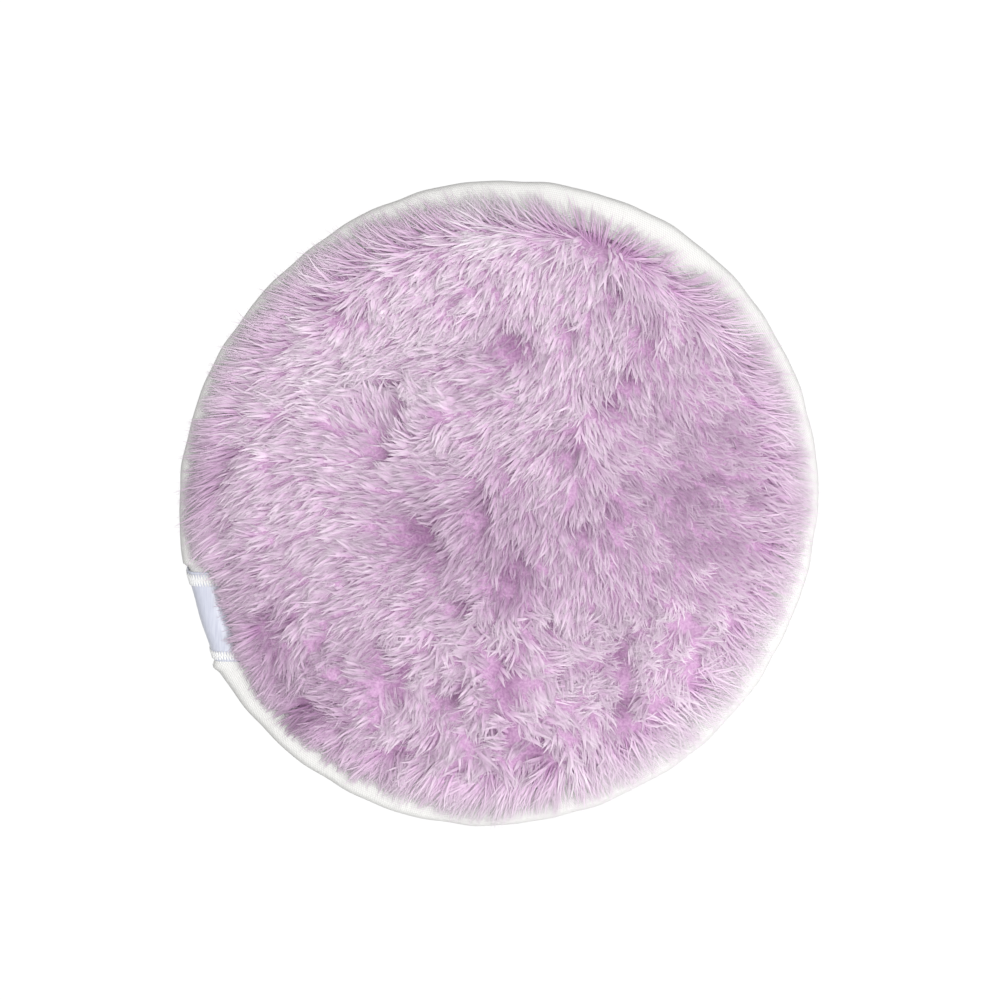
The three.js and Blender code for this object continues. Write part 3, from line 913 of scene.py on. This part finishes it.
# Painted shade: the furrows between the ribs and the gaps between the wefts are painted darker.
IVORY_FURROW_SHADE = (0.75, 0.745, 0.73, 1)
WEFTS = 58  # threads of the weave across the tape
WEFT_SHADE = 0.13
NOSE_ROWS = 10
NOSE_SQUARE = 0.65  # 1 would fold the tape to a half circle; less keeps its faces flat further out
LABEL_BUNCH = math.radians(210)  # where the tape bunches up below the label
BUNCH_HEIGHT = 0.6 * MM
BUNCH_WIDTH = 0.016  # radians


def fold_line(half, face, furrow):
    """Line of a strip folded over the edge: distance outward from the nose's place, and height."""
    front = [(-face, half)]
    if furrow:
        seam = SEAM_IN - TAPE_FACE
        front += [(seam - SEAM_WIDTH / 2, half), (seam, half - SEAM_DIP), (seam + SEAM_WIDTH / 2, half)]
    for i in range(NOSE_ROWS // 2):
        turn = math.pi / 2 * (1 - 2 * i / NOSE_ROWS)
        out, up_on_it = math.cos(turn) ** NOSE_SQUARE, math.sin(turn) ** NOSE_SQUARE
        front.append((half * out - EDGE_HALF, half * up_on_it))
    rear = [(out, -height) for out, height in reversed(front)]
    return np.array(front + [(half - EDGE_HALF, 0)] + rear)


def run_along(line):
    """How far along a line each of its points is."""
    return np.cumsum(np.linalg.norm(np.diff(line, axis=0, prepend=line[:1]), axis=1))


def pucker(angle):
    """How far the thread draws the edge in and out round the pad."""
    waves = ((19, 0.09, 0.4), (31, 0.07, 2.1), (47, 0.05, 4.0), (7, 0.12, 1.1))
    free = sum(size * np.sin(count * angle + start) for count, size, start in waves) * MM
    bunched = BUNCH_HEIGHT * np.exp(-((turn_from(LABEL_BUNCH, angle) / BUNCH_WIDTH) ** 2))
    return free * (1 - label_pull(angle)) + bunched


tape_columns = RIBS * RIB_STEPS
tape_outside = fold_line(EDGE_HALF, TAPE_FACE, True)
tape_inside = fold_line(EDGE_HALF - TAPE, TAPE_FACE, True)[::-2]
tape_section = np.vstack([tape_outside, tape_inside])
on_outside = np.arange(len(tape_section)) < len(tape_outside)
across_outside = run_along(tape_outside)
across_tape = np.concatenate([across_outside, across_outside[::-2]])
rib_lean = RIB_SLANT * across_tape / PAD_RADIUS
tape_angle = even_angles(tape_columns)[:, None] + rib_lean
tape_out = tape_section[:, 0]
loose_edge = smooth_step(tape_out, -TAPE_FACE, 0) * pucker(tape_angle)
tape_points = polar(edge_radius(tape_angle, -tape_out) + loose_edge, tape_angle, tape_section[:, 1])
tape_faces = grid_faces(tape_columns, len(tape_section), True, True)[:, ::-1]
tape_layers = {
    "rib": np.arange(tape_columns)[:, None] / RIB_STEPS,
    "outside": on_outside.astype(float),
    "across": across_tape / across_tape.max(),
}
tape_layers = {k: np.broadcast_to(v, tape_points.shape[:2]).ravel() for k, v in tape_layers.items()}

rib_tree, rib_in = new_tree("tape_ribs")
swell = sum_node("SINE", named(rib_tree, "rib") * (2 * math.pi))
normal = wire(rib_tree, "GeometryNodeInputNormal")
lift = normal * (swell * RIB_HEIGHT * named(rib_tree, "outside"))
ribbed = wire(rib_tree, "GeometryNodeSetPosition", {"Geometry": rib_in["Geometry"], "Offset": lift})
ribbed = store_map(ribbed, swell * 0.45 + 0.5, named(rib_tree, "across") * 0.9 + 0.05)
end_tree(ribbed)

ivory_finish = {"Roughness": 0.6, "Specular IOR Level": 0.3, "Sheen Weight": 0.15}
ivory, ivory_tree, ivory_shader = new_material("ivory_tape", ivory_finish)
rib_swell, place_across, _ = parts_of(wire(ivory_tree, "ShaderNodeUVMap", uv_map="OFBake"))
# Painted shade in the furrows of the ribs, and across the weave between the wefts.
rib_colour = ramp(rib_swell, [(0.05, IVORY_FURROW_SHADE), (0.6, IVORY)])
weave = sum_node("SINE", place_across * (2 * math.pi * WEFTS))
weave = weave * (0.5 * WEFT_SHADE) + (1.0 - 0.5 * WEFT_SHADE)
feed(ivory_shader.inputs["Base Color"], mixed(1.0, rib_colour, weave, "MULTIPLY"))
tape_mesh = grown("edge_binding_tape", tape_points, [], tape_faces.tolist(), tape_layers, rib_tree, {})
binding = show("edge_binding_tape", tape_mesh, ivory, "edge_binding")

# Binding threads
# One row of white stitches in the furrow of each face, down into the cloth at every needle hole.
THREAD = 0.4 * MM
STITCH = 4 * MM
STITCH_RISE = 0.25 * MM
PLY = 0.25 * MM  # twist of the thread
THREAD_WHITE = (0.93, 0.93, 0.93, 1)
SEAM_POINTS = 720

seam_inward = TAPE_FACE - SEAM_IN
stitch_count = round(2 * math.pi * (PAD_RADIUS - seam_inward) / STITCH)
stitch_length = 0.96 * STITCH
stitch_tree, stitch_in = new_tree("seam_stitches", ("Rise",))
seam_curve = wire(stitch_tree, "GeometryNodeMeshToCurve", {"Mesh": stitch_in["Geometry"]})
holes = stitch_tree.nodes.new("GeometryNodeCurveToPoints")
feed(holes.inputs["Curve"], seam_curve)
feed(holes.inputs["Count"], stitch_count)
rod = {"Vertices": 6, "Side Segments": 4, "Radius": THREAD / 2, "Depth": stitch_length}
stitch = wire(stitch_tree, "GeometryNodeMeshCylinder", rod, fill_type="NGON")
on_x, on_y, on_z = parts_of(wire(stitch_tree, "GeometryNodeInputPosition"))
share_along = on_z / stitch_length
bow = (0.25 - share_along * share_along) * 4.0
thin = bow * 0.35 + 0.65
bowed = xyz(stitch_tree, on_x * thin, on_y * thin + bow * stitch_in["Rise"], on_z)
stitch = wire(stitch_tree, "GeometryNodeSetPosition", {"Geometry": stitch, "Position": bowed})
at_holes = {label: Field(holes.outputs[label]) for label in ("Points", "Rotation")}
end_tree(wire(stitch_tree, "GeometryNodeInstanceOnPoints", {**at_holes, "Instance": stitch}))

thread_finish = {"Roughness": 0.6, "Sheen Weight": 0.2}
thread_stops = [(0.35, tuple(0.85 * c for c in THREAD_WHITE[:3]) + (1,)), (0.6, THREAD_WHITE)]
thread, _, _ = mottled("white_thread", thread_finish, PLY, 2, thread_stops, 0.4, 0.4 * PLY)

seam_angle = even_angles(SEAM_POINTS)
seam_edges = np.stack([np.arange(SEAM_POINTS), np.roll(np.arange(SEAM_POINTS), -1)], axis=-1)
for name, node, side in (
    ("front_seam_stitches", "front_seam_thread", 1),
    ("rear_seam_stitches", "rear_seam_thread", -1),
):
    seam_height = side * (EDGE_HALF - SEAM_DIP + 0.9 * THREAD)
    seam = polar(edge_radius(seam_angle, seam_inward), seam_angle, seam_height)
    mesh = grown(name, seam, seam_edges.tolist(), [], {}, stitch_tree, {"Rise": -side * STITCH_RISE})
    show(name, mesh, thread, node)

# Side label
# A short bluish-white satin ribbon folded over the binding and sewn down at both ends. It is bare.
# It presses the soft edge straight, and its own edges lie a little uneven on the tape.
LABEL_THICKNESS = 0.35 * MM
LABEL_FACE = 4.8 * MM
LABEL_COLUMNS = 60
LABEL_SKEW = math.tan(math.radians(17))  # the ribbon lies askew over the edge
SATIN_GRAIN = (4000, 250, 4000)  # streaks of the satin to a metre: they run along the ribbon
SATIN_WHITE = (0.66, 0.68, 0.775, 1)
SATIN_SHADE = (0.56, 0.58, 0.69, 1)


def on_edge(out, along, height):
    """Points from the label's own directions: outward from the pressed edge, along it, and up."""
    facing = np.array([math.cos(LABEL_FACING), math.sin(LABEL_FACING), 0])
    beside_it = np.array([-facing[1], facing[0], 0])
    out, along, height = (a[..., None] for a in np.broadcast_arrays(out, along, height))
    return (LABEL_FLAT + out) * facing + along * beside_it + (MIDDLE + height) * np.array([0, 0, 1])


label_outside = fold_line(EDGE_HALF + LAYER_GAP + LABEL_THICKNESS, LABEL_FACE, False)
label_inside = fold_line(EDGE_HALF + LAYER_GAP, LABEL_FACE, False)[::-1]
label_section = np.vstack([label_outside, label_inside])
label_share = np.linspace(-1, 1, LABEL_COLUMNS)[:, None]
label_along = LABEL_SLIDE + label_share * LABEL_LENGTH / 2
ease = 0.18 * MM * np.cos(label_share * math.pi / 2) * (1 + 0.4 * np.sin(5 * label_share + 1))
ragged = 0.12 * MM * np.sin(9 * label_share + 0.5) * (label_section[:, 0] <= -0.9 * LABEL_FACE)
label_out = label_section[:, 0] + ease * (label_section[:, 0] > -EDGE_HALF) + ragged
label_height = label_section[:, 1] + 0.5 * ease * np.sign(label_section[:, 1])
label_run = run_along(label_outside)
label_width = label_run[-1]
label_across = np.concatenate([label_run, label_run[::-1]]) - label_width / 2
label_points = on_edge(label_out, label_along - LABEL_SKEW * label_across, label_height)
label_rows = len(label_section)
label_faces = grid_faces(LABEL_COLUMNS, label_rows, False, True)
half_rows = label_rows // 2
end_rows = np.arange(half_rows - 1)
label_ends = []
for first in (0, (LABEL_COLUMNS - 1) * label_rows):
    pairs = (end_rows, end_rows + 1, label_rows - 2 - end_rows, label_rows - 1 - end_rows)
    label_ends.append(first + np.stack(pairs, axis=-1))
label_mesh = skin("side_label_ribbon", label_points, np.vstack([label_faces, *label_ends]))

satin, satin_tree, satin_shader = new_material("white_satin", {"Roughness": 0.38, "Sheen Weight": 0.3})
satin_place = Field(satin_tree.nodes.new("ShaderNodeTexCoord").outputs["Object"])
satin_turn = {"Vector": satin_place, "Rotation": (0, 0, -LABEL_FACING), "Scale": SATIN_GRAIN}
satin_turn = wire(satin_tree, "ShaderNodeMapping", satin_turn)
satin_thread = wire(satin_tree, "ShaderNodeTexNoise", {"Vector": satin_turn, "Scale": 1.0, "Detail": 2.0})
feed(satin_shader.inputs["Base Color"], ramp(satin_thread, [(0.3, SATIN_SHADE), (0.7, SATIN_WHITE)]))
bump(satin_shader, satin_thread, 0.15, 0.1 * MM)
label = show("side_label_ribbon", label_mesh, satin, "side_label")

# Label stitches
# A dense zig-zag of white thread over the fold at each end of the label, through label and binding.
ZIGZAG_PITCH = 0.5 * MM
ZIGZAG_MARGIN = 0.2 * MM
ZIGZAG_THREAD = 0.26 * MM
ZIGZAG_POINTS = 10  # along one zig and one zag
ZIGZAG_SHARP = 0.97  # 1 would turn at a point
row_half = EDGE_HALF + LAYER_GAP + LABEL_THICKNESS + ZIGZAG_THREAD * 0.6
row_line = fold_line(row_half, LABEL_FACE - THREAD, False)
row_place = run_along(row_line)
row_length = row_place[-1]
zigzags = round(row_length / ZIGZAG_PITCH)
over = np.linspace(0, row_length, zigzags * ZIGZAG_POINTS + 1)
zigzag_wave = np.arcsin(ZIGZAG_SHARP * np.sin(2 * math.pi * zigzags * over / row_length))
zigzag_wave /= math.asin(ZIGZAG_SHARP)
for name, node, end, row_width in (
    ("label_zigzag_upper", "label_stitch_upper", -1, 2.7 * MM),
    ("label_zigzag_lower", "label_stitch_lower", 1, 2.0 * MM),
):
    row_middle = LABEL_SLIDE + end * (LABEL_LENGTH / 2 - ZIGZAG_MARGIN - row_width / 2)
    row_along = row_middle + zigzag_wave * (row_width - ZIGZAG_THREAD) / 2
    row_along = row_along - LABEL_SKEW * (over - row_length / 2)
    row_out, row_height = (np.interp(over, row_place, values) for values in row_line.T)
    row_points = on_edge(row_out, row_along, row_height)
    zigzag = bpy.data.curves.new(name, "CURVE")
    zigzag.dimensions = "3D"
    zigzag.bevel_depth = ZIGZAG_THREAD / 2
    zigzag.bevel_resolution = 1
    zigzag.use_fill_caps = True
    spline = zigzag.splines.new("POLY")
    spline.points.add(len(row_points) - 1)
    spline.points.foreach_set("co", np.hstack([row_points, np.ones((len(row_points), 1))]).ravel())
    source = in_scene(name + "_line", zigzag)
    mesh = bpy.data.meshes.new_from_object(source.evaluated_get(bpy.context.evaluated_depsgraph_get()))
    bpy.data.objects.remove(source)
    mesh.shade_smooth()
    show(name, mesh, thread, node)
